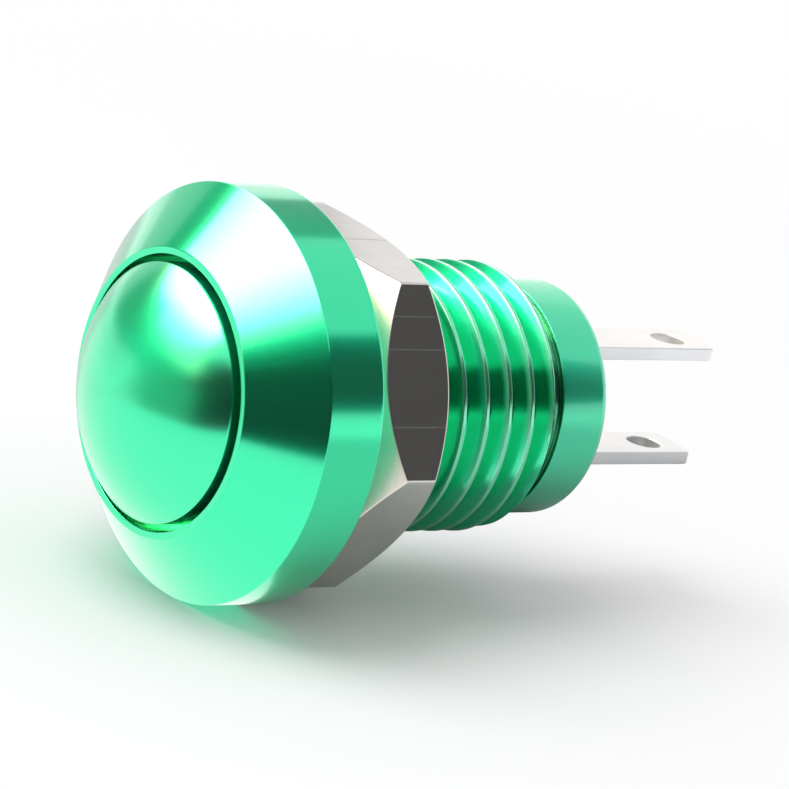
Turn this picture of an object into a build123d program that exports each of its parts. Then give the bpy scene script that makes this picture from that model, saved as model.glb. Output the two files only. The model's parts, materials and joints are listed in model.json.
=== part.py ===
from build123d import *
from math import cos, pi, sin
import os

# Momentary push button for a 12 mm panel hole. Millimetres.
# The button faces -Y, the barrel runs along +Y and the seat against the panel is the plane y = 0.

# Head of the housing
head_d = 18.0
head_depth = 5.1
rim_width = 2.75
lip_width = 0.3
pocket_d = 11.74
seat_wall = 1.0

# Barrel of the housing
thread_d = 12.0
thread_pitch = 1.25
depth_per_pitch = 0.6134
thread_end = 12.1
end_chamfer = 0.45
relief_width = 0.7
relief_depth = 0.2
barrel_len = 15.5
tail_round = 0.9
tail_flats = 3
bore_d = 8.4
shelf_depth = 1.8
running_gap = 0.04

# Button cap
cap_gap = 0.32
cap_proud = 0.2
cap_chamfer = 0.1
dome_rise = 2.4
skirt_wall = 0.7
crown_step = 0.3
boss_wall = 0.9
boss_len = 1.1
socket_depth = 1.2
travel = 1.8
stop_gap = 0.2

# Plunger, its clip and its seal
stem_d = 3.2
clip_thick = 0.4
clip_d = 4.8
clip_groove = 0.4
clip_mouth = 1.8
clip_gap = 0.02
washer_thick = 0.4
washer_d = 6.0
washer_gap = 0.06
seal_cs = 0.9
shoulder_run = 1.4
pin_d = 1.8
pin_over = 0.6
pin_chamfer = 0.25

# Coil springs
return_mean_d = 7.2
return_wire = 0.45
return_turns = 3.5
contact_mean_d = 2.5
contact_wire = 0.28
contact_turns = 3.5
contact_len = 2.4
wire_sides = 4

# Moving contact bridge
bridge_w = 2.4
bridge_len = 7.0
bridge_thick = 0.4
bridge_corner = 0.5
bridge_gap = 0.07
keeper_d = 2.8
keeper_thick = 0.4
keeper_gap = 0.02
tip_pitch = 5.7
tip_w = 1.1
tip_thick = 0.35
overtravel = 0.6

# Terminals and the parts that hold them
blade_w = 2.8
blade_thick = 0.6
blade_pitch = 5.0
blade_out = 8.9
blade_corner = 0.35
eye_d = 1.6
eye_inset = 1.8
pad_reach = 3.5
liner_wall = 0.25
well_d = 3.2
well_depth = 1.5
potting_inset = 0.3
potting_thick = 1.58

# Panel nut
nut_flats = 14.5
nut_thick = 3.9
nut_stand_off = 1.2
nut_face_d = 13.7
nut_cone_slope = 0.8
nut_bore_gap = 0.05
nut_bore_chamfer = 0.45
nut_turn = 23.0


def turned(*outline):
    # a closed outline of (radius, y) turned about the Y axis
    return revolve(make_face(Polyline(*outline, close=True)), Axis.Y)


def disc(y0, y1, d):
    return turned((0, y0), (d / 2, y0), (d / 2, y1), (0, y1))


def ring(y0, y1, d_out, d_in):
    return turned((d_in / 2, y0), (d_out / 2, y0), (d_out / 2, y1), (d_in / 2, y1))


def block(x, y0, y1, z0, z1):
    return Pos(0, (y0 + y1) / 2, (z0 + z1) / 2) * Box(x, y1 - y0, z1 - z0)


def quarter_round(r, y, size, flats):
    # points of a quarter round, drawn with a few flats, that turns an outside corner
    steps = [pi / 2 * n / flats for n in range(flats + 1)]
    return [(r - size + size * cos(a), y - size + size * sin(a)) for a in steps]


def coil(y0, y1, mean_d, wire, turns):
    # a wire with flat sides, wound on a helix that touches the seats at both ends
    height = y1 - y0 - wire
    path = Helix(pitch=height / turns, height=height, radius=mean_d / 2)
    start = Plane(origin=path @ 0, z_dir=path % 0)
    wound = sweep(start * RegularPolygon(wire / 2, wire_sides), path=path, is_frenet=True)
    return Pos(0, y0 + wire / 2, 0) * Rot(-90, 0, 0) * wound


def circles_at(body, y, d):
    # circular edges of one diameter in one plane across the axis
    found = body.edges().filter_by(GeomType.CIRCLE)
    found = [e for e in found if abs(e.center().Y - y) < 1e-4]
    return [e for e in found if abs(2 * e.radius - d) < 1e-4]


# Planes across the axis, from the front backwards
lip_y = -head_depth
cap_edge_y = lip_y - cap_proud
apex_y = cap_edge_y - dome_rise
crown_y = cap_edge_y + crown_step
socket_y = crown_y - socket_depth
boss_y = crown_y + boss_len
floor_y = -seat_wall
skirt_y = floor_y - stop_gap - travel
shelf_y = floor_y + shelf_depth
washer_y = shelf_y - washer_thick
gland_y = washer_y - seal_cs
clip_y = shelf_y + clip_gap
clip_end_y = clip_y + clip_thick
shoulder_y = clip_end_y + shoulder_run
bridge_y = shoulder_y + contact_len
bridge_end_y = bridge_y + bridge_thick
keeper_y = bridge_end_y + keeper_gap
keeper_end_y = keeper_y + keeper_thick
pin_end_y = keeper_end_y + pin_over
fixed_tip_y = bridge_end_y + tip_thick + travel - overtravel
pad_y = fixed_tip_y + tip_thick
base_y = pad_y + blade_thick
relief_y = thread_end + relief_width
potting_end_y = barrel_len - potting_inset
base_end_y = potting_end_y - potting_thick
blade_end_y = barrel_len + blade_out
eye_y = blade_end_y - eye_inset
nut_y = nut_stand_off
nut_back_y = nut_y + nut_thick

# Radii and diameters shared by mating parts
pocket_r = pocket_d / 2
bore_r = bore_d / 2
thread_r = thread_d / 2
tail_r = thread_r - depth_per_pitch * thread_pitch
relief_r = tail_r - relief_depth
stem_r = stem_d / 2
guide_r = stem_r + running_gap
gland_r = guide_r + seal_cs
washer_r = washer_d / 2
cap_r = pocket_r - cap_gap
skirt_r = cap_r - skirt_wall
boss_r = stem_r + boss_wall
groove_r = stem_r - clip_groove
pin_r = pin_d / 2
nut_bore_r = thread_r + nut_bore_gap

# Housing: bevelled head with the button pocket, shelf with the seal gland, barrel and rolled tail
housing = turned(
    (pocket_r, lip_y),
    (pocket_r + lip_width, lip_y),
    (head_d / 2, -rim_width),
    (head_d / 2, 0),
    (thread_r, 0),
    (thread_r, thread_end - end_chamfer),
    (thread_r - end_chamfer, thread_end),
    (relief_r, thread_end),
    (relief_r, relief_y),
    (tail_r, relief_y),
    *quarter_round(tail_r, barrel_len, tail_round, tail_flats),
    (bore_r, barrel_len),
    (bore_r, shelf_y),
    (washer_r, shelf_y),
    (washer_r, washer_y),
    (gland_r, washer_y),
    (gland_r, gland_y),
    (guide_r, gland_y),
    (guide_r, floor_y),
    (pocket_r, floor_y),
)

# Square rubber ring that wipes the stem, and the washer that keeps it in its gland
stem_seal = ring(gland_y, washer_y, 2 * gland_r, 2 * guide_r)
seal_retainer = ring(washer_y, shelf_y, washer_d, stem_d + 2 * washer_gap)

# Button cap: spherical crown over a skirt, with a boss that grips the plunger
crown = TangentArc((0, apex_y), (cap_r, cap_edge_y), tangent=(1, 0))
cap_walls = Polyline(
    (cap_r, cap_edge_y),
    (cap_r, skirt_y),
    (skirt_r, skirt_y),
    (skirt_r, crown_y),
    (boss_r, crown_y),
    (boss_r, boss_y),
    (stem_r, boss_y),
    (stem_r, socket_y),
    (0, socket_y),
    (0, apex_y),
)
button_cap = revolve(make_face(crown + cap_walls), Axis.Y)
button_cap = chamfer(circles_at(button_cap, cap_edge_y, 2 * cap_r), cap_chamfer)

# Plunger: stem through the shelf, groove for the clip, shoulder and thin pin for the bridge
plunger = turned(
    (0, socket_y),
    (stem_r, socket_y),
    (stem_r, clip_y),
    (groove_r, clip_y),
    (groove_r, clip_end_y),
    (stem_r, clip_end_y),
    (stem_r, shoulder_y),
    (pin_r, shoulder_y),
    (pin_r, pin_end_y - pin_chamfer),
    (pin_r - pin_chamfer, pin_end_y),
    (0, pin_end_y),
)

# Clip in the groove, open on one side so that it pushes on
plunger_clip = ring(clip_y, clip_end_y, clip_d, 2 * groove_r)
plunger_clip -= block(clip_mouth, clip_y, clip_end_y, 0, clip_d)

return_spring = coil(crown_y, floor_y, return_mean_d, return_wire, return_turns)
contact_spring = coil(shoulder_y, bridge_y, contact_mean_d, contact_wire, contact_turns)

# Bridge that joins the two fixed contacts, with a silver tip at each end
contact_bridge = block(bridge_w, bridge_y, bridge_end_y, -bridge_len / 2, bridge_len / 2)
contact_bridge = fillet(contact_bridge.edges().filter_by(Axis.Y), bridge_corner)
contact_bridge -= disc(bridge_y, bridge_end_y, pin_d + 2 * bridge_gap)
tip_z = tip_pitch / 2 - tip_w / 2
bridge_tip_upper = block(tip_w, bridge_end_y, bridge_end_y + tip_thick, tip_z, tip_z + tip_w)
bridge_tip_lower = mirror(bridge_tip_upper, about=Plane.XY)
bridge_retainer = ring(keeper_y, keeper_end_y, keeper_d, pin_d)

# Terminal: a blade with a soldering eye outside and a turned-out pad for the fixed contact inside
blade_z = (blade_pitch - blade_thick) / 2
terminal_upper = block(blade_w, pad_y, blade_end_y, blade_z, blade_z + blade_thick)
tip_corners = terminal_upper.edges().filter_by(Axis.Z).sort_by(Axis.Y)[-2:]
terminal_upper = fillet(tip_corners, blade_corner)
terminal_upper += block(blade_w, pad_y, base_y, blade_z, pad_reach)
terminal_upper -= Pos(0, eye_y, blade_pitch / 2) * Cylinder(eye_d / 2, 2 * blade_thick)
terminal_lower = mirror(terminal_upper, about=Plane.XY)
fixed_tip_upper = block(tip_w, fixed_tip_y, pad_y, tip_z, tip_z + tip_w)
fixed_tip_lower = mirror(fixed_tip_upper, about=Plane.XY)

# Sleeve that lines the bore, the plug that carries both terminals, and the sealing compound
blade_slots = block(blade_w, base_y, blade_end_y, blade_z, blade_z + blade_thick)
blade_slots += mirror(blade_slots, about=Plane.XY)
liner = ring(shelf_y, base_y, bore_d, bore_d - 2 * liner_wall)
terminal_base = disc(base_y, base_end_y, bore_d) - disc(base_y, base_y + well_depth, well_d)
terminal_base -= blade_slots
epoxy_seal = disc(base_end_y, potting_end_y, bore_d) - blade_slots

# Nut with both faces chamfered, turned a little on its thread as it was left
nut_face_r = nut_face_d / 2
nut_waist_y = nut_y + nut_thick / 2
nut_waist_r = nut_face_r + nut_thick / 2 / nut_cone_slope
nut_body = turned(
    (nut_bore_r + nut_bore_chamfer, nut_y),
    (nut_face_r, nut_y),
    (nut_waist_r, nut_waist_y),
    (nut_face_r, nut_back_y),
    (nut_bore_r + nut_bore_chamfer, nut_back_y),
    (nut_bore_r, nut_back_y - nut_bore_chamfer),
    (nut_bore_r, nut_y + nut_bore_chamfer),
)
flats = extrude(RegularPolygon(nut_flats / 2, 6, major_radius=False), nut_thick)
flats = Pos(0, nut_y, 0) * Rot(0, 30 - nut_turn, 0) * Rot(-90, 0, 0) * flats
hex_nut = nut_body & flats

nodes = {
    "housing": housing,
    "stem_seal": stem_seal,
    "seal_retainer": seal_retainer,
    "button_cap": button_cap,
    "plunger": plunger,
    "plunger_clip": plunger_clip,
    "return_spring": return_spring,
    "contact_spring": contact_spring,
    "contact_bridge": contact_bridge,
    "bridge_tip_upper": bridge_tip_upper,
    "bridge_tip_lower": bridge_tip_lower,
    "bridge_retainer": bridge_retainer,
    "terminal_upper": terminal_upper,
    "terminal_lower": terminal_lower,
    "fixed_tip_upper": fixed_tip_upper,
    "fixed_tip_lower": fixed_tip_lower,
    "liner": liner,
    "terminal_base": terminal_base,
    "epoxy_seal": epoxy_seal,
    "hex_nut": hex_nut,
}

os.makedirs("parts", exist_ok=True)
for name, solid in nodes.items():
    export_step(solid, f"parts/{name}.step")
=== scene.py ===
import json
import math

import bmesh
import bpy
import numpy as np
from mathutils import Matrix, Vector


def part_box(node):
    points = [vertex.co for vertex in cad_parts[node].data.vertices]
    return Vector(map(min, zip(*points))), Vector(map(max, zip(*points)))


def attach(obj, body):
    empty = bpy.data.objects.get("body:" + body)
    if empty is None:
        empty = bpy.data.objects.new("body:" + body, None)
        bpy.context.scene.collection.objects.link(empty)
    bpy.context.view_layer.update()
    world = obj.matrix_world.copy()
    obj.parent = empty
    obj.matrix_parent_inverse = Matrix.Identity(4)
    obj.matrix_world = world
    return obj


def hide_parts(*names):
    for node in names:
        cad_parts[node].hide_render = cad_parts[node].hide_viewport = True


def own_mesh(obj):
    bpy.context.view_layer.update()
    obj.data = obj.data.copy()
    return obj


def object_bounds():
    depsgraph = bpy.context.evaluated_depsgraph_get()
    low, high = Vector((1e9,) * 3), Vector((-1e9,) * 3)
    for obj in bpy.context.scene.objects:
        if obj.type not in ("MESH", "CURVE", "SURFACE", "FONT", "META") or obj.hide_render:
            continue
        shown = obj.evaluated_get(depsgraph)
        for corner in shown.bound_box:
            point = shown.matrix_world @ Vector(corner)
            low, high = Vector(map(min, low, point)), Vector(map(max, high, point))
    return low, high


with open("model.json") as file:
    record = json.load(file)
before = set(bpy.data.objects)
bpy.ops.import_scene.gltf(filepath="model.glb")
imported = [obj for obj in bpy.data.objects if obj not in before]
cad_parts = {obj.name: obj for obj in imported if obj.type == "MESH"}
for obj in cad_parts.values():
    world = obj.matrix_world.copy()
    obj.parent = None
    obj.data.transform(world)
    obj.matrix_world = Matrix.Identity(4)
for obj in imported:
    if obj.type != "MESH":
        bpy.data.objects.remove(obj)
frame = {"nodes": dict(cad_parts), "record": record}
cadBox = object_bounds()
nodes = frame["nodes"]
mm = 0.001
print("frame loaded:", len(nodes), "nodes")


# Surfaces

def roundedPath(corners, cut, steps=3, closed=True):
    # A corner becomes the parabola b(t) = (1-t)^2 p + 2t(1-t) corner + t^2 q between points p and q that
    # lie one cut away on its two sides, with a supporting point one cut further out on each side.
    before = np.roll(corners, 1, axis=0)
    after = np.roll(corners, -1, axis=0)
    toBefore, toAfter = before - corners, after - corners
    lengthBefore = np.linalg.norm(toBefore, axis=-1, keepdims=True)
    lengthAfter = np.linalg.norm(toAfter, axis=-1, keepdims=True)
    cut = np.reshape(cut, (-1,) + (1,) * (corners.ndim - 1))
    reach = np.minimum(cut, 0.24 * np.minimum(lengthBefore, lengthAfter))
    toBefore, toAfter = toBefore / lengthBefore * reach, toAfter / lengthAfter * reach
    t = np.linspace(0, 1, steps + 1).reshape((-1,) + (1,) * corners.ndim)
    arc = corners + (1 - t) ** 2 * toBefore + t ** 2 * toAfter
    path = np.concatenate([corners[None] + 2 * toBefore, arc, corners[None] + 2 * toAfter])
    path = np.moveaxis(path, 0, 1)
    if not closed:
        path[0], path[-1] = corners[0], corners[-1]
    return path.reshape((-1,) + corners.shape[1:])


def turnedPoints(radius, along, angle):
    # A point at an angle round the Y axis is (radius cos angle, along, radius sin angle), in millimetres.
    radius, along, angle = np.broadcast_arrays(radius, along, angle)
    return np.stack([radius * np.cos(angle), along, radius * np.sin(angle)], axis=-1)


joining = {"weldDistance": 2e-7, "smallestEdge": 1e-8}  # in metres


def cornerRows(pairs, columns):
    # Each pair is a corner's radius and height, either of them one number or one for each column.
    none = 0 * columns
    return np.stack([np.stack([radius + none, height + none], axis=1) for radius, height in pairs])


def gridMesh(name, *grids, closeRows=False, sharpAngle=40):
    # Neighbouring rows and columns of a grid of points are joined by four-sided faces; the last column
    # lies on the first, and where a row lies on the next or on one point, its faces close up.
    quads, start = [], 0
    for grid in grids:
        index = start + np.arange(grid.shape[0] * grid.shape[1]).reshape(grid.shape[:2])
        start = index[-1, -1] + 1
        if closeRows:
            index = np.vstack([index, index[:1]])
        corners = [index[:-1, :-1], index[:-1, 1:], index[1:, 1:], index[1:, :-1]]
        quads.append(np.stack(corners, axis=-1).reshape(-1, 4))
    points = np.concatenate([grid.reshape(-1, 3) for grid in grids])
    quads = np.concatenate(quads)
    mesh = bpy.data.meshes.new(name)
    mesh.from_pydata((points * mm).tolist(), [], quads.tolist())
    shell = bmesh.new()
    shell.from_mesh(mesh)
    bmesh.ops.remove_doubles(shell, verts=shell.verts, dist=joining["weldDistance"])
    bmesh.ops.dissolve_degenerate(shell, edges=shell.edges, dist=joining["smallestEdge"])
    bmesh.ops.recalc_face_normals(shell, faces=shell.faces)
    shell.to_mesh(mesh)
    shell.free()
    mesh.shade_smooth()
    mesh.set_sharp_from_angle(angle=math.radians(sharpAngle))
    piece = bpy.data.objects.new(name, mesh)
    bpy.context.scene.collection.objects.link(piece)
    return piece


def placePiece(piece, body, material, replaced):
    piece.data.materials.append(material)
    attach(piece, body)
    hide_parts(*replaced)


# Materials

def linearColour(hexCode):
    # sRGB to linear: c / 12.92 below 0.04045 and ((c + 0.055) / 1.055) ^ 2.4 above
    parts = [int(hexCode[i:i + 2], 16) / 255 for i in (0, 2, 4)]
    return tuple(c / 12.92 if c <= 0.04045 else ((c + 0.055) / 1.055) ** 2.4 for c in parts) + (1.0,)


def addNode(tree, kind, settings=None, links=None):
    # A setting whose key is a number or an input's name goes to that input, and any other to the node.
    node = tree.nodes.new(kind)
    for key, value in (settings or {}).items():
        if isinstance(key, int) or key in node.inputs:
            node.inputs[key].default_value = value
        else:
            setattr(node, key, value)
    for key, socket in (links or {}).items():
        tree.links.new(socket, node.inputs[key])
    return node


def newMaterial(name):
    material = bpy.data.materials.new(name)
    material.use_nodes = True
    material.node_tree.nodes.clear()
    return material, material.node_tree


def cloudTone(tree, place, cloud):
    # Soft clouds, some millimetres wide, run between a darker and a lighter tone.
    noise = addNode(tree, "ShaderNodeTexNoise",
                    {"Scale": 1 / (cloud["size"] * mm), "Detail": cloud["detail"]}, {"Vector": place})
    tone = addNode(tree, "ShaderNodeMapRange", {"To Min": cloud["dark"], "To Max": cloud["light"]},
                   {"Value": noise.outputs["Fac"]})
    return tone.outputs[0]


def cloudedColour(tree, place, colour, cloud):
    mix = addNode(tree, "ShaderNodeMix", {"data_type": "RGBA", "blend_type": "MULTIPLY", 0: 1.0,
                                          6: linearColour(colour)}, {7: cloudTone(tree, place, cloud)})
    return mix.outputs[2]


def turningMarks(tree, place, rings):
    # The tool's feed shows as rings, whose number grows both along and across the axis.
    flat = addNode(tree, "ShaderNodeVectorMath", {"operation": "MULTIPLY", 1: (1, 0, 1)}, {0: place})
    length = addNode(tree, "ShaderNodeVectorMath", {"operation": "LENGTH"}, {0: flat.outputs[0]})
    radius = length.outputs["Value"]
    along = addNode(tree, "ShaderNodeSeparateXYZ", {}, {0: place}).outputs["Y"]
    both = addNode(tree, "ShaderNodeMath", {"operation": "ADD"}, {0: along, 1: radius})
    noise = addNode(tree, "ShaderNodeTexNoise",
                    {"noise_dimensions": "1D", "Scale": 1 / (rings["width"] * mm), "Detail": 2.0,
                     "Roughness": rings["unevenness"]}, {"W": both.outputs[0]})
    return along, radius, noise.outputs["Fac"]


def unevenRoughness(tree, marks, roughness, spread):
    # The roughness follows the marks, by a share of itself either way.
    low, high = roughness * (1 - spread), roughness * (1 + spread)
    rough = addNode(tree, "ShaderNodeMapRange", {"To Min": low, "To Max": high}, {"Value": marks})
    return rough.outputs[0]


def rampBetween(tree, value, ends, most):
    # From 0 at the first end, in millimetres, to the given most at the second.
    ramp = addNode(tree, "ShaderNodeMapRange",
                   {"From Min": ends[0] * mm, "From Max": ends[1] * mm, "To Max": most}, {"Value": value})
    return ramp.outputs[0]


def withinLength(tree, along, length):
    # 1 where Y lies within the reach of the middle, both in millimetres, and 0 elsewhere.
    inside = addNode(tree, "ShaderNodeMath", {"operation": "COMPARE", 1: length["middle"] * mm,
                                              2: length["reach"] * mm}, {0: along})
    return inside.outputs[0]


def recoloured(tree, base, share, colour):
    mix = addNode(tree, "ShaderNodeMix", {"data_type": "RGBA", 7: linearColour(colour)}, {0: share, 6: base})
    return mix.outputs[2]


def finishSurface(tree, settings, links):
    shader = addNode(tree, "ShaderNodeBsdfPrincipled", settings, links)
    addNode(tree, "ShaderNodeOutputMaterial", {}, {"Surface": shader.outputs[0]})


# In the finishes, sizes, widths, heights and lengths are in millimetres.
anodising = {
    "rings": {"width": 0.12, "unevenness": 0.6},
    "cloud": {"size": 6, "detail": 2.0, "dark": 0.97, "light": 1.03},
    "spread": 0.1,
    "markHeight": 0.004,
}
barrelAnodising = {
    "colour": "0CF2AE",
    "roughness": 0.2,
    "smear": 0.7,
    "oxideIor": 1.7,
    "oxideBlur": 0.12,
    "markStrength": 0.1,
    "lengths": [
        # the thread: a little darker, as painted shade
        {"middle": 6.15, "reach": 5.75, "colour": "0EE4A8"},
        # the relief groove: much darker, as painted shade
        {"middle": 12.4, "reach": 0.42, "colour": "0A9A6A"},
        # the tail: a paler, duller green
        {"middle": 14.1, "reach": 1.3, "colour": "30DDAA"},
    ],
    "wearAndSheen": {
        # the crests: paler, partly as real wear and partly as a painted highlight
        "crest": {"ends": (5.88, 5.98), "middle": 6.15, "reach": 5.75, "most": 0.8, "colour": "86E8C4"},
        "rolledEnd": {"ends": (15.15, 15.4), "most": 0.75, "colour": "8FA096"},
        "tail": {"ends": (12.7, 12.9), "rougher": 0.12},
    },
}
capAnodising = {
    "colour": "0CF2AE",
    "roughness": 0.23,
    "smear": 0.8,
    "oxideIor": 1.8,
    "oxideBlur": 0.22,
    "markStrength": 0.02,
    # the skirt: a bluer green
    "lengths": [{"middle": -3.4, "reach": 1.8, "colour": "18F4DC"}],
    "wearAndSheen": None,
}


def turnedAnodised(name, finish):
    # Anodised aluminium, turned and then dyed: the metal under the clear oxide keeps its turning marks, so
    # reflections end sharply round the axis and smear along it, and the oxide adds a soft white gloss.
    material, tree = newMaterial(name)
    place = addNode(tree, "ShaderNodeTexCoord").outputs["Object"]
    around = addNode(tree, "ShaderNodeVectorMath", {"operation": "CROSS_PRODUCT", 1: (0, 1, 0)}, {0: place})
    along, radius, rings = turningMarks(tree, place, anodising["rings"])
    dyeAndPaintedLight = cloudedColour(tree, place, finish["colour"], anodising["cloud"])
    # Some lengths of the piece get another tone. On the barrel the thread is a little darker and the relief
    # groove much darker, both as painted shade, and the tail is a paler, duller green; on the cap the skirt
    # is a bluer green.
    for length in finish["lengths"]:
        dyeAndPaintedLight = recoloured(tree, dyeAndPaintedLight, withinLength(tree, along, length), length["colour"])
    rough = unevenRoughness(tree, rings, finish["roughness"], anodising["spread"])
    wearAndSheen = finish["wearAndSheen"]
    if wearAndSheen:
        # The nut rubs the dye off the thread's crests, and their paler colour is also a painted highlight
        # along them.
        crest = addNode(tree, "ShaderNodeMath", {"operation": "MULTIPLY"},
                        {0: rampBetween(tree, radius, wearAndSheen["crest"]["ends"], wearAndSheen["crest"]["most"]),
                         1: withinLength(tree, along, wearAndSheen["crest"])})
        dyeAndPaintedLight = recoloured(tree, dyeAndPaintedLight, crest.outputs[0], wearAndSheen["crest"]["colour"])
        # It is gone for the most part where the tail's end is rolled over, and the whole tail is rougher.
        bare = rampBetween(tree, along, wearAndSheen["rolledEnd"]["ends"], wearAndSheen["rolledEnd"]["most"])
        dyeAndPaintedLight = recoloured(tree, dyeAndPaintedLight, bare, wearAndSheen["rolledEnd"]["colour"])
        rougher = rampBetween(tree, along, wearAndSheen["tail"]["ends"], wearAndSheen["tail"]["rougher"])
        rough = addNode(tree, "ShaderNodeMath", {"operation": "ADD"}, {0: rough, 1: rougher}).outputs[0]
    marks = addNode(tree, "ShaderNodeBump", {"Strength": finish["markStrength"],
                                             "Distance": anodising["markHeight"] * mm}, {"Height": rings})
    finishSurface(tree, {
        "Metallic": 1.0,
        "Anisotropic": finish["smear"],
        "Anisotropic Rotation": 0.25,
        "Coat Weight": 1.0,
        "Coat Roughness": finish["oxideBlur"],
        "Coat IOR": finish["oxideIor"],
    }, {"Base Color": dyeAndPaintedLight, "Roughness": rough, "Normal": marks.outputs[0], "Tangent": around.outputs[0]})
    return material


plating = {
    "cloud": {"size": 2.5, "detail": 3.0, "dark": 0.93, "light": 1.04},
    "spread": 0.25,
    "markHeight": 0.01,
}


def platedMetal(name, colour, roughness, grainMm, stretch, bump):
    # Bright metal, drawn, stamped or turned and in part plated: faint marks run along one direction.
    material, tree = newMaterial(name)
    place = addNode(tree, "ShaderNodeTexCoord").outputs["Object"]
    drawn = addNode(tree, "ShaderNodeVectorMath", {"operation": "MULTIPLY", 1: stretch}, {0: place})
    marks = addNode(tree, "ShaderNodeTexNoise",
                    {"Scale": 1 / (grainMm * mm), "Detail": 3.0, "Roughness": 0.6},
                    {"Vector": drawn.outputs[0]}).outputs["Fac"]
    tint = cloudedColour(tree, place, colour, plating["cloud"])
    rough = unevenRoughness(tree, marks, roughness, plating["spread"])
    relief = addNode(tree, "ShaderNodeBump", {"Strength": bump, "Distance": plating["markHeight"] * mm},
                     {"Height": marks})
    finishSurface(tree, {"Metallic": 1.0},
                  {"Base Color": tint, "Roughness": rough, "Normal": relief.outputs[0]})
    return material


nickel = {
    "flatColour": "E4E1DD",
    "turnedColour": "F6EADF",
    "roughness": 0.13,
    "spread": 0.3,
    "turnedFacing": (0.35, 0.6),  # how far a face points along the axis, as a cosine
    "turnedRougher": 0.2,
    "streakWidth": 0.3,
    "streakStretch": (1, 0.02, 1),
    "dieDirection": (0.35, 0, 0.94),
    "dieSpacing": 1.8,
    "dieEdge": (0.005, 0.012),  # as shares of the spacing
    "dieRougher": 0.14,
    "rings": {"width": 0.14, "unevenness": 0.5},
    "cloud": {"size": 1.2, "detail": 4.0, "dark": 0.9, "light": 1.06},
    "markStrength": 0.2,
    "markHeight": 0.01,
}


def nickelPlated(name, finish):
    # Bright nickel over brass: the flats keep thin lines from the die that the hexagonal bar was drawn
    # through, and the chamfers and faces, which were turned, keep fine rings and a warmer tone.
    material, tree = newMaterial(name)
    texture = addNode(tree, "ShaderNodeTexCoord")
    place = texture.outputs["Object"]
    facing = addNode(tree, "ShaderNodeSeparateXYZ", {}, {0: texture.outputs["Normal"]})
    endwise = addNode(tree, "ShaderNodeMath", {"operation": "ABSOLUTE"}, {0: facing.outputs["Y"]})
    least, most = finish["turnedFacing"]
    turned = addNode(tree, "ShaderNodeMapRange", {"From Min": least, "From Max": most},
                     {"Value": endwise.outputs[0]}).outputs[0]
    drawn = addNode(tree, "ShaderNodeVectorMath", {"operation": "MULTIPLY", 1: finish["streakStretch"]},
                    {0: place})
    streaks = addNode(tree, "ShaderNodeTexNoise",
                      {"Scale": 1 / (finish["streakWidth"] * mm), "Detail": 3.0, "Roughness": 0.6},
                      {"Vector": drawn.outputs[0]})
    # The die's lines are drawn coarser than real ones, at the cell borders of a slanting row of cells.
    across = addNode(tree, "ShaderNodeVectorMath", {"operation": "DOT_PRODUCT", 1: finish["dieDirection"]},
                     {0: place})
    cells = addNode(tree, "ShaderNodeTexVoronoi",
                    {"voronoi_dimensions": "1D", "feature": "DISTANCE_TO_EDGE",
                     "Scale": 1 / (finish["dieSpacing"] * mm)}, {"W": across.outputs["Value"]})
    least, most = finish["dieEdge"]
    dieLine = addNode(tree, "ShaderNodeMapRange",
                      {"From Min": least, "From Max": most, "To Min": finish["dieRougher"], "To Max": 0.0},
                      {"Value": cells.outputs["Distance"]})
    onFlats = addNode(tree, "ShaderNodeMath", {"operation": "SUBTRACT", 0: 1.0}, {1: turned})
    dieLine = addNode(tree, "ShaderNodeMath", {"operation": "MULTIPLY"},
                      {0: dieLine.outputs[0], 1: onFlats.outputs[0]})
    rings = turningMarks(tree, place, finish["rings"])[2]
    marks = addNode(tree, "ShaderNodeMix", {}, {0: turned, 2: streaks.outputs["Fac"], 3: rings}).outputs[0]
    tint = addNode(tree, "ShaderNodeMix", {"data_type": "RGBA", 6: linearColour(finish["flatColour"]),
                                           7: linearColour(finish["turnedColour"])}, {0: turned})
    tint = addNode(tree, "ShaderNodeMix", {"data_type": "RGBA", "blend_type": "MULTIPLY", 0: 1.0},
                   {6: tint.outputs[2], 7: cloudTone(tree, place, finish["cloud"])})
    rough = unevenRoughness(tree, marks, finish["roughness"], finish["spread"])
    rough = addNode(tree, "ShaderNodeMath", {"operation": "ADD"}, {0: rough, 1: dieLine.outputs[0]})
    rough = addNode(tree, "ShaderNodeMath", {"operation": "MULTIPLY_ADD", 1: finish["turnedRougher"]},
                    {0: turned, 2: rough.outputs[0]})
    relief = addNode(tree, "ShaderNodeBump", {"Strength": finish["markStrength"],
                                              "Distance": finish["markHeight"] * mm}, {"Height": marks})
    finishSurface(tree, {"Metallic": 1.0}, {"Base Color": tint.outputs[2], "Roughness": rough.outputs[0],
                                            "Normal": relief.outputs[0]})
    return material


moulding = {
    "cloud": {"size": 3, "detail": 2.0, "dark": 0.85, "light": 1.15},
    "spread": 0.2,
    "grainHeight": 0.01,
    "ior": 1.5,
}


def mouldedPolymer(name, colour, roughness, grainMm, bump):
    # Moulded or cast polymer: one colour with slight cloudiness and a fine grain from the mould.
    material, tree = newMaterial(name)
    place = addNode(tree, "ShaderNodeTexCoord").outputs["Object"]
    grain = addNode(tree, "ShaderNodeTexNoise", {"Scale": 1 / (grainMm * mm), "Detail": 3.0},
                    {"Vector": place}).outputs["Fac"]
    tint = cloudedColour(tree, place, colour, moulding["cloud"])
    rough = unevenRoughness(tree, grain, roughness, moulding["spread"])
    relief = addNode(tree, "ShaderNodeBump", {"Strength": bump, "Distance": moulding["grainHeight"] * mm},
                     {"Height": grain})
    finishSurface(tree, {"IOR": moulding["ior"]},
                  {"Base Color": tint, "Roughness": rough, "Normal": relief.outputs[0]})
    return material


alongAxis = (1, 0.04, 1)  # marks drawn out along the Y axis
evenly = (1, 1, 1)
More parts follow.
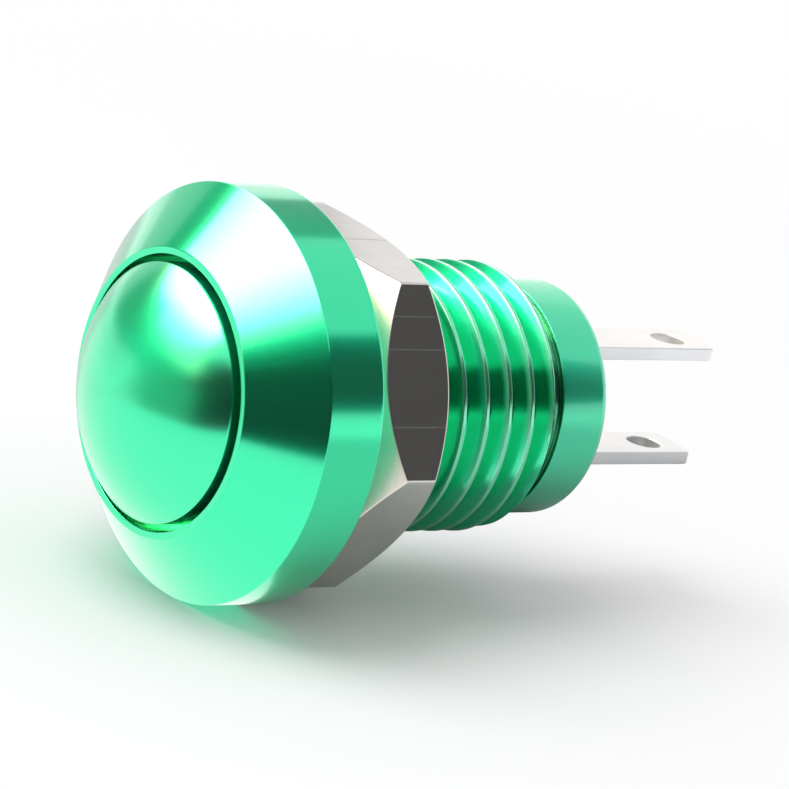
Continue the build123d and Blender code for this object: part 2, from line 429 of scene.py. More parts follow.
# Plated metals and polymers take a name, colour, roughness, grain in millimetres and strength of relief.
finishes = {
    "anodised_green": turnedAnodised("anodisedAluminiumGreen", barrelAnodising),
    "anodised_green_cap": turnedAnodised("anodisedAluminiumGreenCap", capAnodising),
    "nickel_nut": nickelPlated("nickelPlatedBrass", nickel),
    "tinned_brass": platedMetal("tinPlatedBrass", "F1F2F4", 0.42, 0.3, alongAxis, 0.15),
    "retainer_steel": platedMetal("zincPlatedSteel", "BFC1C4", 0.32, 0.2, evenly, 0.15),
    "keeper_steel": platedMetal("plainSteelKeeper", "B8B9BB", 0.3, 0.2, evenly, 0.15),
    "clip_steel": platedMetal("springSteelClip", "8C8D90", 0.35, 0.2, evenly, 0.15),
    "return_spring_steel": platedMetal("stainlessSpringWire", "C9C8C4", 0.25, 0.15, evenly, 0.2),
    "contact_spring_steel": platedMetal("stainlessContactWire", "C9C8C4", 0.25, 0.12, evenly, 0.2),
    "bridge_brass": platedMetal("stampedBrass", "E3C27A", 0.28, 0.2, evenly, 0.2),
    "bridge_tip_silver": platedMetal("silverAlloyTip", "F0EEE9", 0.25, 0.15, evenly, 0.15),
    "fixed_tip_silver": platedMetal("silverAlloyContact", "F0EEE9", 0.25, 0.15, evenly, 0.15),
    "seal_rubber": mouldedPolymer("nitrileRubber", "1B1B1C", 0.6, 0.08, 0.3),
    "acetal_black": mouldedPolymer("acetalPlunger", "1E1E1F", 0.4, 0.1, 0.15),
    "liner_nylon": mouldedPolymer("naturalNylon", "D8D2C2", 0.5, 0.1, 0.15),
    "base_nylon": mouldedPolymer("blackNylon", "222223", 0.5, 0.1, 0.2),
    "potting_epoxy": mouldedPolymer("blackPottingEpoxy", "161617", 0.16, 0.6, 0.25),
}
for entry in frame["record"]["subparts"]:
    nodeData = nodes[entry["node"]].data
    nodeData.materials.clear()
    nodeData.materials.append(finishes[entry["material_slot"]])
print("materials made:", len(finishes))


# Housing: bevelled head, threaded barrel and rolled tail in one turned piece

housingLow, housingHigh = (np.array(corner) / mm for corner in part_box("housing"))
capLow, capHigh = (np.array(corner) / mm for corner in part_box("button_cap"))
nutLow, nutHigh = (np.array(corner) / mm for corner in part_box("hex_nut"))

thread = {
    "diameter": 12.0,
    "pitch": 1.25,
    "depthPerPitch": 0.6134,
    "crestPerPitch": 0.125,
    "start": 0.6,
    "end": 12.1,
    "phase": 11.764,  # where the crest meets the +X side
    "crestCut": 0.03,
    "rootCut": 0.07,
    "rowsPerPitch": 8,
}
housing = {
    "rimWidth": 2.75,
    "lipWidth": 0.3,
    "pocketRadius": 5.87,
    "seatWall": 1.0,
    "reliefWidth": 0.7,
    "reliefDepth": 0.2,
    "endChamfer": 0.45,
    "tailRound": 0.5,
    "boreRadius": 4.2,
    "shelfBack": 0.8,
    "guideRadius": 1.64,
    "glandRadius": 2.54,
    "glandFront": -0.5,
    "washerRadius": 3.0,
    "washerFront": 0.4,
    "edgeCut": 0.06,
    "rimBackCut": 0.1,
    "rimFrontCut": 0.03,
    "lipOuterCut": 0.03,
    "lipInnerCut": 0.05,
    "tailRows": 13,
    "columns": 216,
}


def threadForm(pitch, outer, depth, crest):
    # One pitch of a 60 degree thread as radius against length: a crest flat, a flank that falls by depth
    # over depth x tan 30, a root flat and the flank back, with small curves at its corners.
    flank = depth * math.tan(math.radians(30))
    corners = np.array([
        [0, outer],
        [crest / 2, outer],
        [crest / 2 + flank, outer - depth],
        [pitch - crest / 2 - flank, outer - depth],
        [pitch - crest / 2, outer],
        [pitch, outer],
    ])
    cuts = [0, thread["crestCut"], thread["rootCut"], thread["rootCut"], thread["crestCut"], 0]
    path = roundedPath(corners, cuts, steps=3, closed=False)
    path = path[np.concatenate([[True], np.diff(path[:, 0]) > 1e-6])]
    extra = np.linspace(0, pitch, thread["rowsPerPitch"] + 1)
    length = np.unique(np.round(np.concatenate([path[:, 0], extra]), 6))
    return length, np.interp(length, path[:, 0], path[:, 1])


def threadRows(angle, start, end, outer, depth, phase):
    # The form is carried along a right-hand helix: at each angle it shifts back by pitch x angle / turn.
    # Rows past either end are held at that end, where their faces close up.
    pitch = thread["pitch"]
    length, radius = threadForm(pitch, outer, depth, thread["crestPerPitch"] * pitch)
    turns = np.arange(math.floor((start - phase) / pitch) - 1, math.ceil((end - phase) / pitch) + 2)
    rows = (turns[:, None] * pitch + length[None, :-1]).ravel() + phase
    shift = pitch * angle / (2 * math.pi)
    along = np.clip(rows[:, None] - shift[None, :], start, end)
    form = np.interp((along + shift - phase) % pitch, length, radius)
    return along, form


def housingSurface():
    # Rows run round the closed section, from the thread's front, over the head and through the bore to the
    # tail; the radius of a threaded row also depends on the angle.
    size = housing
    angle = np.linspace(0, 2 * math.pi, size["columns"] + 1)
    headRadius = housingHigh[0]
    lip, end = housingLow[1], housingHigh[1]
    outer = thread["diameter"] / 2
    depth = thread["depthPerPitch"] * thread["pitch"]
    tail = outer - depth
    relief = tail - size["reliefDepth"]
    reliefEnd = thread["end"] + size["reliefWidth"]
    pocket, bore, guide = size["pocketRadius"], size["boreRadius"], size["guideRadius"]
    # The tail is rolled over in a quarter circle.
    quarter = np.linspace(math.pi / 2, 0, size["tailRows"])
    tailArc = np.stack([tail + size["tailRound"] * (np.cos(quarter) - 1),
                        end + size["tailRound"] * (np.sin(quarter) - 1), 0 * quarter], axis=1)
    # Each corner is a radius, a place along the axis and the cut that rounds it.
    edge = size["edgeCut"]
    section = np.array([
        [tail, thread["start"], edge],
        [tail, 0, edge],
        [headRadius, 0, size["rimBackCut"]],
        [headRadius, -size["rimWidth"], size["rimFrontCut"]],
        [pocket + size["lipWidth"], lip, size["lipOuterCut"]],
        [pocket, lip, size["lipInnerCut"]],
        [pocket, -size["seatWall"], edge],
        [guide, -size["seatWall"], edge],
        [guide, size["glandFront"], edge],
        [size["glandRadius"], size["glandFront"], edge],
        [size["glandRadius"], size["washerFront"], edge],
        [size["washerRadius"], size["washerFront"], edge],
        [size["washerRadius"], size["shelfBack"], edge],
        [bore, size["shelfBack"], edge],
        [bore, end, edge],
        *tailArc,
        [tail, reliefEnd, edge],
        [relief, reliefEnd, edge],
        [relief, thread["end"], edge],
    ])
    plain = roundedPath(section[:, :2], section[:, 2], steps=4, closed=False)
    plainAlong = np.broadcast_to(plain[:, 1:2], (len(plain), len(angle)))
    plainRadius = np.broadcast_to(plain[:, 0:1], (len(plain), len(angle)))
    along, radius = threadRows(angle, thread["start"], thread["end"], outer, depth, thread["phase"])
    chamferBack = outer - size["endChamfer"] + thread["end"] - along
    chamferFront = outer - size["endChamfer"] + along - thread["start"]
    radius = np.minimum(radius, np.minimum(chamferBack, chamferFront))
    along = np.concatenate([plainAlong, along[::-1]])
    radius = np.concatenate([plainRadius, radius[::-1]])
    return turnedPoints(radius, along, angle[None, :])


housingPiece = gridMesh("housingBody", housingSurface(), closeRows=True)
placePiece(housingPiece, "body", finishes["anodised_green"], ["housing"])
print("housing made:", len(housingPiece.data.polygons), "faces")


# Button cap: domed crown over a skirt, with the boss that grips the plunger

cap = {
    "skirtWall": 0.7,
    "crownBack": -5.0,
    "edgeFront": -5.3,
    "bossRadius": 2.5,
    "bossBack": -3.9,
    "socketRadius": 1.6,
    "socketFront": -6.2,
    "edgeCut": 0.07,
    "domeRows": 36,
    "columns": 192,
}


def capSurface():
    # The dome is a spherical cap: with radius R = (r^2 + h^2) / 2h, a point at radius x stands
    # R - sqrt(R^2 - x^2) behind the apex. The skirt and the inside are straight lines turned with it.
    size = cap
    angle = np.linspace(0, 2 * math.pi, size["columns"] + 1)
    radius, apex = capHigh[0], capLow[1]
    rise = size["edgeFront"] - apex
    sphere = (radius ** 2 + rise ** 2) / (2 * rise)
    dome = np.linspace(0, radius, size["domeRows"])
    dome = np.stack([dome, apex + sphere - np.sqrt(sphere ** 2 - dome ** 2)], axis=1)[:-1]
    corners = np.array([
        dome[-1],
        [radius, size["edgeFront"]],
        [radius, capHigh[1]],
        [radius - size["skirtWall"], capHigh[1]],
        [radius - size["skirtWall"], size["crownBack"]],
        [size["bossRadius"], size["crownBack"]],
        [size["bossRadius"], size["bossBack"]],
        [size["socketRadius"], size["bossBack"]],
        [size["socketRadius"], size["socketFront"]],
        [0, size["socketFront"]],
    ])
    rest = roundedPath(corners, size["edgeCut"], steps=5, closed=False)
    section = np.concatenate([dome[:-1], rest])
    return turnedPoints(section[:, :1], section[:, 1:], angle[None, :])


capPiece = gridMesh("buttonCap", capSurface())
placePiece(capPiece, "button", finishes["anodised_green_cap"], ["button_cap"])
print("cap made:", len(capPiece.data.polygons), "faces")


# Panel nut: hexagon with both faces chamfered and a threaded bore

nut = {
    "flats": 14.5,
    "faceDiameter": 13.7,
    "coneSlope": 0.8,
    "boreRadius": 6.05,
    "boreChamfer": 0.45,
    "threadDepth": 0.32,
    "turn": 23.0,
    "edgeCut": 0.05,
    "cornerPower": 300,
    "columnsPerFlat": 32,
}


def nutSurface():
    # The hexagon's radius is apothem / (sum of cos(angle - flat)^p)^(1/p), a corner softened by a high p.
    # The chamfer meets each flat where the face's cone reaches that radius, so that edge is a hyperbola.
    size = nut
    half = np.linspace(-1, 1, size["columnsPerFlat"] + 1)[:-1]
    within = np.radians(30) * np.sin(half * math.pi / 2)
    flatAngles = np.radians(size["turn"] + 60 * np.arange(6))
    angle = (flatAngles[:, None] + within[None, :]).ravel()
    angle = np.append(angle, angle[0] + 2 * math.pi)
    facing = np.clip(np.cos(angle[:, None] - flatAngles[None, :]), 0, None)
    power = size["cornerPower"]
    hexRadius = size["flats"] / 2 / np.sum(facing ** power, axis=1) ** (1 / power)
    front, back = nutLow[1], nutHigh[1]
    face, slope = size["faceDiameter"] / 2, size["coneSlope"]
    bore, chamfer = size["boreRadius"], size["boreChamfer"]
    corners = cornerRows([
        (bore, front + chamfer),
        (bore + chamfer, front),
        (face, front),
        (hexRadius, front + slope * (hexRadius - face)),
        (hexRadius, back - slope * (hexRadius - face)),
        (face, back),
        (bore + chamfer, back),
        (bore, back - chamfer),
    ], angle)
    path = roundedPath(corners, size["edgeCut"], steps=3, closed=False)
    along, grooved = threadRows(angle, front + chamfer, back - chamfer,
                                bore + size["threadDepth"], size["threadDepth"], thread["phase"])
    mouth = bore + np.minimum(along - front - chamfer, back - chamfer - along)
    grooved = np.minimum(grooved, mouth)
    radius = np.concatenate([path[..., 0], grooved[::-1]])
    along = np.concatenate([path[..., 1], along[::-1]])
    return turnedPoints(radius, along, angle[None, :])


nutPiece = gridMesh("panelNut", nutSurface(), closeRows=True, sharpAngle=35)
placePiece(nutPiece, "nut", finishes["nickel_nut"], ["hex_nut"])
print("nut made:", len(nutPiece.data.polygons), "faces")


# Solder blades: stamped strip with a rounded edge all round and an eye

blade = {
    "cornerRadius": 0.35,
    "eyeRadius": 0.8,
    "eyeInset": 1.8,
    "thickness": 0.6,
    "padDepth": 0.6,
    "edgeCut": 0.07,
    "padRound": 0.1,
    "cornerPoints": 13,
    "sidePoints": 40,
    "rootPoints": 12,
    "tipPoints": 7,
}


def padSurface(side, low, high):
    # The pad turned out at the root: its rounded outline, drawn in a little at both faces and closed to
    # their middles.
    near, far = (low[2], high[2]) if side > 0 else (high[2], low[2])
    middle = np.array([0, (near + far) / 2])
    corners = np.array([[-high[0], near], [high[0], near], [high[0], far], [-high[0], far]])
    outline = roundedPath(corners, np.full(4, blade["padRound"]), steps=4)
    outline = np.vstack([outline, outline[:1]]) - middle
    edge = blade["edgeCut"]
    shrink = np.array([0, 1 - edge, 1, 1, 1 - edge, 0])[:, None]
    front, back = low[1], low[1] + blade["padDepth"]
    along = np.array([front, front, front + edge, back - edge, back, back])[:, None]
    along = np.broadcast_to(along, (len(along), len(outline)))
    return np.stack([shrink * outline[:, 0], along, middle[1] + shrink * outline[:, 1]], axis=-1)


def bladeSurface(side, low, high):
    # Seen from the eye's centre the outline is the distance along each direction to the strip's nearest
    # side. Rows cross from the eye's wall over one face, round the outer edge and back over the other face.
    size = blade
    halfWidth = high[0]
    eye = high[1] - size["eyeInset"]
    inner = low[1] + size["padDepth"]
    corner = size["cornerRadius"]
    # Corners count as quarter circles at the tip and as sharp ones at the root.
    quarter = np.linspace(0, math.pi / 2, size["cornerPoints"])
    tipRight = np.stack([halfWidth - corner + corner * np.cos(quarter),
                         high[1] - corner + corner * np.sin(quarter)], axis=1)
    tipLeft = tipRight[::-1] * (-1, 1)
    sideRun = np.linspace(inner, tipRight[0, 1], size["sidePoints"] + 1)[:-1]
    rightSide = np.stack([np.full_like(sideRun, halfWidth), sideRun], axis=1)
    leftSide = rightSide[::-1] * (-1, 1)
    rootRun = np.linspace(-halfWidth, halfWidth, size["rootPoints"] + 1)[:-1]
    root = np.stack([rootRun, np.full_like(rootRun, inner)], axis=1)
    tipRun = np.linspace(tipRight[-1, 0], tipLeft[0, 0], size["tipPoints"] + 2)[1:-1]
    tip = np.stack([tipRun, np.full_like(tipRun, high[1])], axis=1)
    outline = np.concatenate([root, rightSide, tipRight, tip, tipLeft, leftSide])
    outline = np.concatenate([outline, outline[:1]])
    fromEye = outline - (0, eye)
    distance = np.linalg.norm(fromEye, axis=1)
    unit = fromEye / distance[:, None]
    lowFace = low[2] if side > 0 else high[2]
    highFace = lowFace + side * size["thickness"]
    corners = cornerRows([
        (size["eyeRadius"], lowFace),
        (distance, lowFace),
        (distance, highFace),
        (size["eyeRadius"], highFace),
    ], distance)
    section = roundedPath(corners, size["edgeCut"], steps=4)
    reach, height = section[..., 0], section[..., 1]
    return np.stack([reach * unit[None, :, 0], eye + reach * unit[None, :, 1], height], axis=-1)


for side, nodeName in ((1, "terminal_upper"), (-1, "terminal_lower")):
    low, high = (np.array(corner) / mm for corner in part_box(nodeName))
    bladePiece = gridMesh(nodeName.replace("terminal_", "blade."), bladeSurface(side, low, high),
                          padSurface(side, low, high), closeRows=True)
    placePiece(bladePiece, "body", finishes["tinned_brass"], [nodeName])
print("blades made")


# Coil springs of round wire

springs = {
    "return_spring": {
        "meanRadius": 3.6, "wire": 0.45, "turns": 3.5, "front": -5.0, "back": -1.0, "body": "body",
        "joint": "button_press", "anchor": -1.0, "keep": 0.55, "slot": "return_spring_steel",
    },
    "contact_spring": {
        "meanRadius": 1.25, "wire": 0.28, "turns": 3.5, "front": 2.62, "back": 5.02, "body": "button",
        "joint": "bridge_overtravel", "anchor": 2.62, "keep": 0.75, "slot": "contact_spring_steel",
    },
}


coil = {"points": 420, "aroundWire": 15, "ease": 0.9}


def springSurface(size):
    # A round wire follows (R cos a, y(a), R sin a), whose height rises evenly between half turns that lie
    # almost flat on the two seats; its ends close to a point.
    angle = np.linspace(0, 2 * math.pi * size["turns"], coil["points"])
    share = np.linspace(0, 1, len(angle))
    ease = share - coil["ease"] * np.sin(2 * math.pi * share) / (2 * math.pi)
    wireRadius = size["wire"] / 2
    along = size["front"] + wireRadius + ease * (size["back"] - size["front"] - size["wire"])
    centre = turnedPoints(size["meanRadius"], along, angle)
    outward = turnedPoints(1.0, 0.0, angle)
    forward = np.gradient(centre, axis=0)
    forward /= np.linalg.norm(forward, axis=1, keepdims=True)
    across = np.cross(forward, outward)
    around = np.linspace(0, 2 * math.pi, coil["aroundWire"])
    taper = np.ones(len(angle))
    taper[[0, -1]] = 0
    ring = np.cos(around)[None, :, None] * outward[:, None] + np.sin(around)[None, :, None] * across[:, None]
    return centre[:, None] + wireRadius * taper[:, None, None] * ring


for nodeName, size in springs.items():
    spring = gridMesh(nodeName.replace("_spring", "Coil"), springSurface(size))
    placePiece(spring, size["body"], finishes[size["slot"]], [nodeName])
    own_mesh(spring)
print("springs made")


# Stem seal: a rubber ring of round section

seal = {"meanRadius": 2.09, "section": 0.9, "along": -0.05, "columns": 96, "aroundSection": 24}


def sealSurface():
    # A torus about the Y axis: a circle of the section's radius carried round the mean radius.
    turn = np.linspace(0, 2 * math.pi, seal["columns"] + 1)
    around = np.linspace(0, 2 * math.pi, seal["aroundSection"] + 1)[:-1]
    half = seal["section"] / 2
    radius = seal["meanRadius"] + half * np.cos(around)[:, None]
    along = seal["along"] + half * np.sin(around)[:, None]
    return turnedPoints(radius, along, turn[None, :])


sealPiece = gridMesh("stemRing", sealSurface(), closeRows=True)
placePiece(sealPiece, "body", finishes["seal_rubber"], ["stem_seal"])


# Potting: cast surface that creeps up the bore and the blades

pottingLow, pottingHigh = (np.array(corner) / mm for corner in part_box("epoxy_seal"))
bladeLow, bladeHigh = (np.array(corner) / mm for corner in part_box("terminal_upper"))
potting = {"wallCreep": 0.16, "bladeCreep": 0.14, "reach": 0.28, "rings": 60, "columns": 180}


def pottingSurface():
    # The level rises by creep x exp(-distance / reach) towards the bore's wall and towards each blade, where
    # the distance is that to the wall's circle or to the blade's rectangle.
    size = potting
    angle = np.linspace(0, 2 * math.pi, size["columns"] + 1)
    wall = pottingHigh[0]
    radius = wall * np.sin(np.linspace(0, math.pi / 2, size["rings"]))[:, None]
    x, z = radius * np.cos(angle), radius * np.sin(angle)
    halfWidth = bladeHigh[0]
    nearZ = bladeLow[2]
    farZ = nearZ + blade["thickness"]
    outX = np.maximum(np.abs(x) - halfWidth, 0)
    outZ = np.maximum(np.maximum(np.abs(z) - farZ, nearZ - np.abs(z)), 0)
    level = pottingHigh[1] + size["wallCreep"] * np.exp(-(wall - radius) / size["reach"])
    level = level + size["bladeCreep"] * np.exp(-np.hypot(outX, outZ) / size["reach"])
    side = np.full_like(angle, wall)
    bottom = np.full_like(angle, pottingLow[1])
    allRadius = np.concatenate([np.broadcast_to(radius, level.shape), side[None], 0 * side[None]])
    allAlong = np.concatenate([level, bottom[None], bottom[None]])
    return turnedPoints(allRadius, allAlong, angle[None, :])


pottingPiece = gridMesh("pottingFill", pottingSurface())
placePiece(pottingPiece, "body", finishes["potting_epoxy"], ["epoxy_seal"])
print("seal and potting made")


# Studio: pale floor, white surroundings, one soft lamp, and cards and a window that only reflections show

windowDistance = 370.0
windowColour = "FFE9CC"


def emitter(name, colour, strength):
    material, tree = newMaterial(name)
    glow = addNode(tree, "ShaderNodeEmission", {"Color": linearColour(colour), "Strength": strength})
    addNode(tree, "ShaderNodeOutputMaterial", {}, {"Surface": glow.outputs[0]})
    return material


def shadedBoard(name, nearColour, farColour, nearEnd, farEnd):
    # Matte board with painted shade: darker where the part stands over it and paler further back.
    material, tree = newMaterial(name)
    place = addNode(tree, "ShaderNodeTexCoord").outputs["Object"]
    split = addNode(tree, "ShaderNodeSeparateXYZ", {}, {0: place})
    share = addNode(tree, "ShaderNodeMapRange", {"From Min": nearEnd * mm, "From Max": farEnd * mm},
                    {"Value": split.outputs["Y"]})
    tone = addNode(tree, "ShaderNodeMix", {"data_type": "RGBA", 6: linearColour(nearColour),
                                           7: linearColour(farColour)}, {0: share.outputs[0]})
    matte = addNode(tree, "ShaderNodeBsdfDiffuse", {}, {"Color": tone.outputs[2]})
    addNode(tree, "ShaderNodeOutputMaterial", {}, {"Surface": matte.outputs[0]})
    return material


def windowGlow(name, pane):
    # The strength is faint + (bright - faint) x share ^ power, whose share grows with the height.
    material, tree = newMaterial(name)
    place = addNode(tree, "ShaderNodeTexCoord").outputs["Object"]
    split = addNode(tree, "ShaderNodeSeparateXYZ", {}, {0: place})
    ends = np.radians([pane["low"][0], pane["to"]])
    low, high = windowDistance * mm * np.sin(ends)
    share = addNode(tree, "ShaderNodeMapRange", {"From Min": low, "From Max": high},
                    {"Value": split.outputs["Z"]})
    curve = addNode(tree, "ShaderNodeMath", {"operation": "POWER", 1: pane["power"]}, {0: share.outputs[0]})
    strength = addNode(tree, "ShaderNodeMath",
                       {"operation": "MULTIPLY_ADD", 1: pane["bright"] - pane["faint"], 2: pane["faint"]},
                       {0: curve.outputs[0]})
    # What the metal throws on to the floor isn't lit by the window, so the floor stays pale.
    path = addNode(tree, "ShaderNodeLightPath")
    straight = addNode(tree, "ShaderNodeMath", {"operation": "LESS_THAN", 1: 0.5},
                       {0: path.outputs["Diffuse Depth"]})
    strength = addNode(tree, "ShaderNodeMath", {"operation": "MULTIPLY"},
                       {0: strength.outputs[0], 1: straight.outputs[0]})
    glow = addNode(tree, "ShaderNodeEmission", {"Color": linearColour(windowColour)},
                   {"Strength": strength.outputs[0]})
    addNode(tree, "ShaderNodeOutputMaterial", {}, {"Surface": glow.outputs[0]})
    return material


def fadingPaper(name, colour, nearEdge, farEdge):
    # Matt white paper: it takes the part's shadow, and further out the camera sees it as plain white.
    material, tree = newMaterial(name)
    matte = addNode(tree, "ShaderNodeBsdfDiffuse", {"Color": linearColour(colour)})
    white = addNode(tree, "ShaderNodeEmission", {"Color": (1, 1, 1, 1), "Strength": 1.0})
    place = addNode(tree, "ShaderNodeTexCoord").outputs["Object"]
    distance = addNode(tree, "ShaderNodeVectorMath", {"operation": "LENGTH"}, {0: place})
    share = addNode(tree, "ShaderNodeMapRange",
                    {"interpolation_type": "SMOOTHSTEP", "From Min": nearEdge * mm, "From Max": farEdge * mm},
                    {"Value": distance.outputs["Value"]})
    rays = addNode(tree, "ShaderNodeLightPath")
    fade = addNode(tree, "ShaderNodeMath", {"operation": "MULTIPLY"},
                   {0: share.outputs[0], 1: rays.outputs["Is Camera Ray"]})
    paper = addNode(tree, "ShaderNodeMixShader", {},
                    {0: fade.outputs[0], 1: matte.outputs[0], 2: white.outputs[0]})
    addNode(tree, "ShaderNodeOutputMaterial", {}, {"Surface": paper.outputs[0]})
    return material


centre = (cadBox[0] + cadBox[1]) / 2


def flatGrid(across, along, count):
    # X changes from row to row and Y from column to column, each between its two ends.
    return np.meshgrid(np.linspace(*across, count), np.linspace(*along, count), indexing="ij")


floor = {
    "halfSize": 900.0,
    "height": housingLow[2],
    "colour": "F7F7F7",
    "near": 40.0,
    "far": 150.0,
    "grid": 9,
}
floorEnds = (-floor["halfSize"], floor["halfSize"])
floorX, floorY = flatGrid(floorEnds, floorEnds, floor["grid"])
floorPiece = gridMesh("floor", np.stack([floorX, floorY, np.full_like(floorX, floor["height"])], axis=-1))
floorPiece.data.materials.append(fadingPaper("palePaper", floor["colour"], floor["near"], floor["far"]))
floorPiece.visible_glossy = False


def directionPoint(azimuth, elevation, distance):
    # Azimuth 0 is towards -Y and 90 towards +X, both in degrees, as seen from the part's centre.
    a, e = np.radians(azimuth), np.radians(elevation)
    point = np.stack([np.sin(a) * np.cos(e), -np.cos(a) * np.cos(e), np.sin(e) * np.ones_like(a)], axis=-1)
    return distance * point + np.array(centre) / mm


def showInReflections(card, material):
    card.data.materials.append(material)
    card.visible_camera = card.visible_diffuse = card.visible_shadow = False
    card.visible_transmission = card.visible_volume_scatter = False


cardGrid = {"columns": 33, "rows": 13}


def reflectedCard(name, azimuths, elevations, distance, material):
    # A curved card: columns go through the azimuths, and rows from its lower edge to its upper edge, where
    # an edge given as a pair of angles runs from one to the other.
    columns = cardGrid["columns"]
    azimuth = np.linspace(*azimuths, columns)
    low, high = (np.linspace(*np.broadcast_to(edge, 2), columns) for edge in elevations)
    elevation = np.linspace(low, high, cardGrid["rows"])
    azimuth = np.broadcast_to(azimuth, elevation.shape)
    showInReflections(gridMesh(name, directionPoint(azimuth, elevation, distance)), material)


cards = {
    "darkCard": {"azimuths": (13, 112), "elevations": (-40, 28), "distance": 380, "colour": "404040"},
    "dimCard": {"azimuths": (108, 146), "elevations": (-10, 39), "distance": 375, "colour": "505050"},
    "upperCard": {"azimuths": (40, 112), "elevations": (24, 39), "distance": 375, "colour": "606060"},
    "greyCard": {"azimuths": (-80, 16), "elevations": (5, 36), "distance": 380, "colour": "60B298"},
    "paleCard": {"azimuths": (-96, -80), "elevations": (5, 34), "distance": 380, "colour": "C6DACF"},
    "lowGreyCard": {"azimuths": (-22, 16), "elevations": (-14, 7), "distance": 378, "colour": "90C0AA"},
    "tipCard": {"azimuths": (-32, -22), "elevations": (-12, 5), "distance": 378, "colour": "C0E4D2"},
    "skyCard": {"azimuths": (112, 212), "elevations": (39, 76), "distance": 380, "colour": "E6E6E6"},
}
for name, card in cards.items():
    reflectedCard(name, card["azimuths"], card["elevations"], card["distance"],
                  emitter(name + "Cloth", card["colour"], 1.0))

# The window brightens from its lower edge upwards, and it starts higher up on the left.
window = {
    "right": {
        "azimuths": (-38, 13), "low": (26, 13), "high": 62,
        "faint": 2.2, "bright": 15.0, "to": 43, "power": 2.6,
    },
    "left": {
        "azimuths": (-85, -38), "low": (29, 34), "high": 62,
        "faint": 2.2, "bright": 14.0, "to": 43, "power": 1.1,
    },
}
for side, pane in window.items():
    reflectedCard("window." + side, pane["azimuths"], (pane["low"], pane["high"]), windowDistance,
                  windowGlow("glow." + side, pane))

# A narrow dark strip above the barrel shows as the band across the top of the rim.
strip = {
    "across": (-46.0, -15.5),
    "heights": (34.0, 52.1),
    "along": (28.0, 42.0),
    "colour": "8C8C8C",
    "grid": 5,
}
stripX, stripY = flatGrid(strip["across"], strip["along"], strip["grid"])
stripZ = np.interp(stripX, strip["across"], strip["heights"])
showInReflections(gridMesh("rimStrip", np.stack([stripX, stripY, stripZ], axis=-1)),
                  emitter("stripCloth", strip["colour"], 1.0))

# A pale board tipped as the part would rest on it shows only in reflections. Behind the head it takes the
# part's shadow, and its colour is painted darker close under the part as well; ahead of it, where it dips
# under the floor, it glows evenly instead.
board = {
    "halfSize": 700.0,
    "height": -9.0,
    # The back board's colour close to the part is painted shade, fading to the front colour between shadeFrom
    # and shadeTo.
    "rise": 0.2568,
    "paintedShadeColour": "D2D2D2",
    "frontColour": "FFFFFF",
    "shadeFrom": 23,
    "shadeTo": 32,
    "frontGlow": 1.08,
    "grid": 9,
}


def boardSurface(nearEnd, farEnd):
    # A flat grid over X and Y whose height is height + rise x Y.
    x, y = flatGrid((-board["halfSize"], board["halfSize"]), (nearEnd, farEnd), board["grid"])
    return np.stack([x, y, board["height"] + board["rise"] * y], axis=-1)


showInReflections(gridMesh("restBoardBack", boardSurface(0, board["halfSize"])),
                  shadedBoard("shadedBoard", board["paintedShadeColour"], board["frontColour"],
                              board["shadeFrom"], board["shadeTo"]))
showInReflections(gridMesh("restBoardFront", boardSurface(-board["halfSize"], 0)),
                  emitter("evenBoard", board["frontColour"], board["frontGlow"]))

lamp = {"azimuth": -20.0, "elevation": 62.0, "distance": 500.0, "size": 0.45, "power": 1.28}
lampData = bpy.data.lights.new("softLamp", "AREA")
lampData.shape = "DISK"
lampData.size = lamp["size"]
lampData.energy = lamp["power"]
lampObject = bpy.data.objects.new("softLamp", lampData)
bpy.context.scene.collection.objects.link(lampObject)
lampPlace = Vector(directionPoint(np.array(lamp["azimuth"]), lamp["elevation"], lamp["distance"]) * mm)
lampObject.location = lampPlace
lampObject.rotation_euler = (lampPlace - centre).to_track_quat("Z", "Y").to_euler()
lampObject.visible_glossy = False

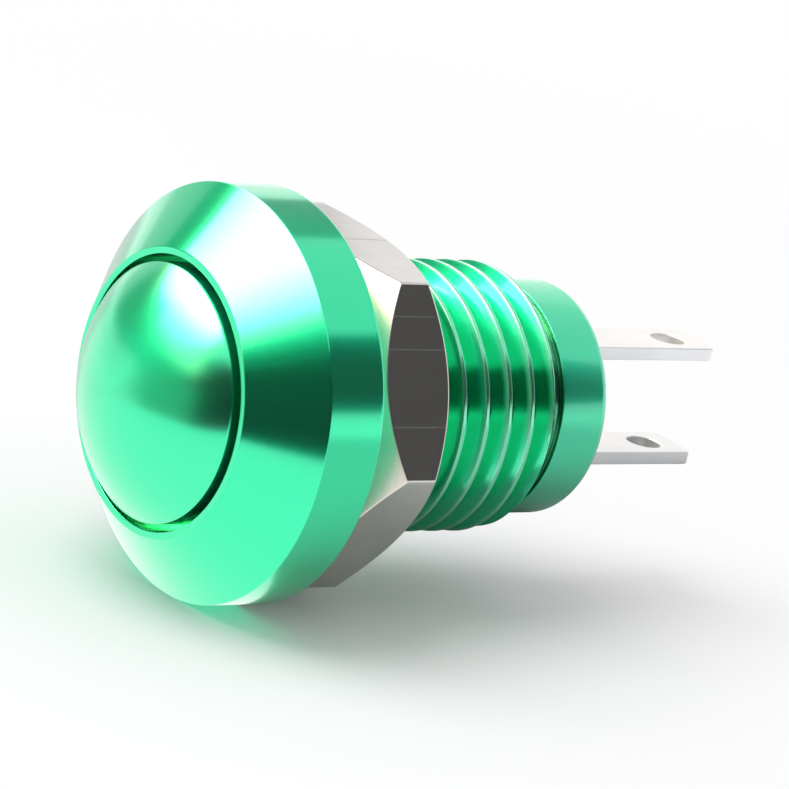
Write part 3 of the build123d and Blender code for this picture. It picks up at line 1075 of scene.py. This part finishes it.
# Seen directly or in a reflection the room is plain white, and as light on the pieces it is a little less.
surroundings = {"seen": 1.0, "diffuse": 0.72}
world = bpy.data.worlds.new("whiteRoom")
bpy.context.scene.world = world
world.use_nodes = True
world.node_tree.nodes.clear()
tree = world.node_tree
rays = addNode(tree, "ShaderNodeLightPath")
seen = addNode(tree, "ShaderNodeMath", {"operation": "MAXIMUM"},
               {0: rays.outputs["Is Camera Ray"], 1: rays.outputs["Is Glossy Ray"]})
seen = addNode(tree, "ShaderNodeMath", {"operation": "MAXIMUM"},
               {0: seen.outputs[0], 1: rays.outputs["Is Transmission Ray"]})
level = addNode(tree, "ShaderNodeMapRange",
                {"To Min": surroundings["diffuse"], "To Max": surroundings["seen"]},
                {"Value": seen.outputs[0]})
sky = addNode(tree, "ShaderNodeBackground", {"Color": (1, 1, 1, 1)}, {"Strength": level.outputs[0]})
addNode(tree, "ShaderNodeOutputWorld", {}, {"Surface": sky.outputs[0]})
print("studio made")


# Camera: a long lens from ahead and to the right, leaning to one side

camera = {
    "aimAlong": 7.52,
    "azimuth": 50.45,
    "elevation": 14.92,
    "roll": 12.42,
    "distance": 201.5,
    "lens": 210.0,
    "clipFrom": 0.01,
    "clipTo": 10,
}


def cameraMatrix(size):
    # The upright right and up directions at the azimuth and elevation are turned by the roll angle.
    a, e, r = (math.radians(size[key]) for key in ("azimuth", "elevation", "roll"))
    back = Vector((math.sin(a) * math.cos(e), -math.cos(a) * math.cos(e), math.sin(e)))
    right = Vector((math.cos(a), math.sin(a), 0))
    up = back.cross(right)
    rolledRight = right * math.cos(r) + up * math.sin(r)
    rolledUp = up * math.cos(r) - right * math.sin(r)
    matrix = Matrix((rolledRight, rolledUp, back)).transposed().to_4x4()
    matrix.translation = (Vector((0, size["aimAlong"], 0)) + back * size["distance"]) * mm
    return matrix


cameraData = bpy.data.cameras.new("camera")
cameraData.lens = camera["lens"]
cameraData.clip_start = camera["clipFrom"]
cameraData.clip_end = camera["clipTo"]
cameraObject = bpy.data.objects.new("camera", cameraData)
cameraObject.matrix_world = cameraMatrix(camera)
bpy.context.scene.collection.objects.link(cameraObject)
bpy.context.scene.camera = cameraObject

bpy.context.scene.view_settings.view_transform = "Standard"

print("scene made")
